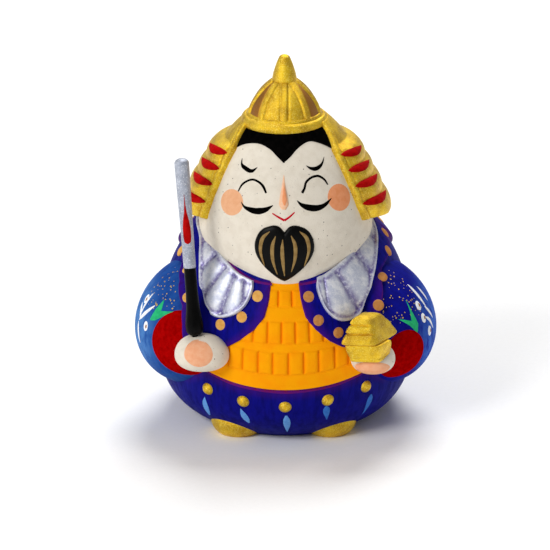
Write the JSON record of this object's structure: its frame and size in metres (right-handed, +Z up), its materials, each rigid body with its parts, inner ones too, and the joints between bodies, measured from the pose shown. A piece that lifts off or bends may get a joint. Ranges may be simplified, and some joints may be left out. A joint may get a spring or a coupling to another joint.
{
  "type": "daruma doll",
  "caption": "Round painted clay daruma figurine of an armoured guardian with a gold helmet, a lift-out staff and a small pagoda.",
  "frame": {"origin": "centre of the foot, on the plane that the doll stands on", "axes": "+Z up, the doll faces -Y, +X towards its own left"},
  "size_m": [0.078, 0.072, 0.0988],
  "materials": {
    "navy_paint": "brushed matte paint on clay",
    "bisque": "unglazed cream clay with fine iron specks",
    "bare_clay": "bare fired clay",
    "gold_paint": "grainy gold powder paint",
    "silver_paint": "pearly silver paint over purple",
    "orange_paint": "matte orange paint",
    "red_paint": "matte red paint",
    "blue_paint": "brushed blue paint with flowers and gold dust",
    "black_paint": "glossy black paint"
  },
  "bodies": {
    "doll": {"body_shell": "navy_paint", "base_slab": "bare_clay", "shoe_left": "gold_paint", "shoe_right": "gold_paint", "skirt_studs": "gold_paint", "breastplate": "orange_paint", "coat": "navy_paint", "lapel_left": "silver_paint", "lapel_right": "silver_paint", "sleeve_left": "blue_paint", "sleeve_right": "blue_paint", "cuff_left": "red_paint", "cuff_right": "red_paint", "hand_left": "bisque", "hand_right": "bisque", "pagoda_body": "gold_paint", "pagoda_roof": "gold_paint", "head_shell": "bisque", "beard": "black_paint", "neck_guard": "gold_paint", "helmet_rim": "gold_paint", "helmet_bowl": "gold_paint", "helmet_ribs": "gold_paint", "helmet_finial": "gold_paint"},
    "staff": {"staff_grip": "black_paint", "staff_blade": "silver_paint"}
  },
  "joints": [
    {"name": "staff_lift", "type": "slide", "parent": "doll", "child": "staff", "axis": [-0.0725, 0.1374, 0.9878], "range_m": [0, 0.006]}
  ]
}
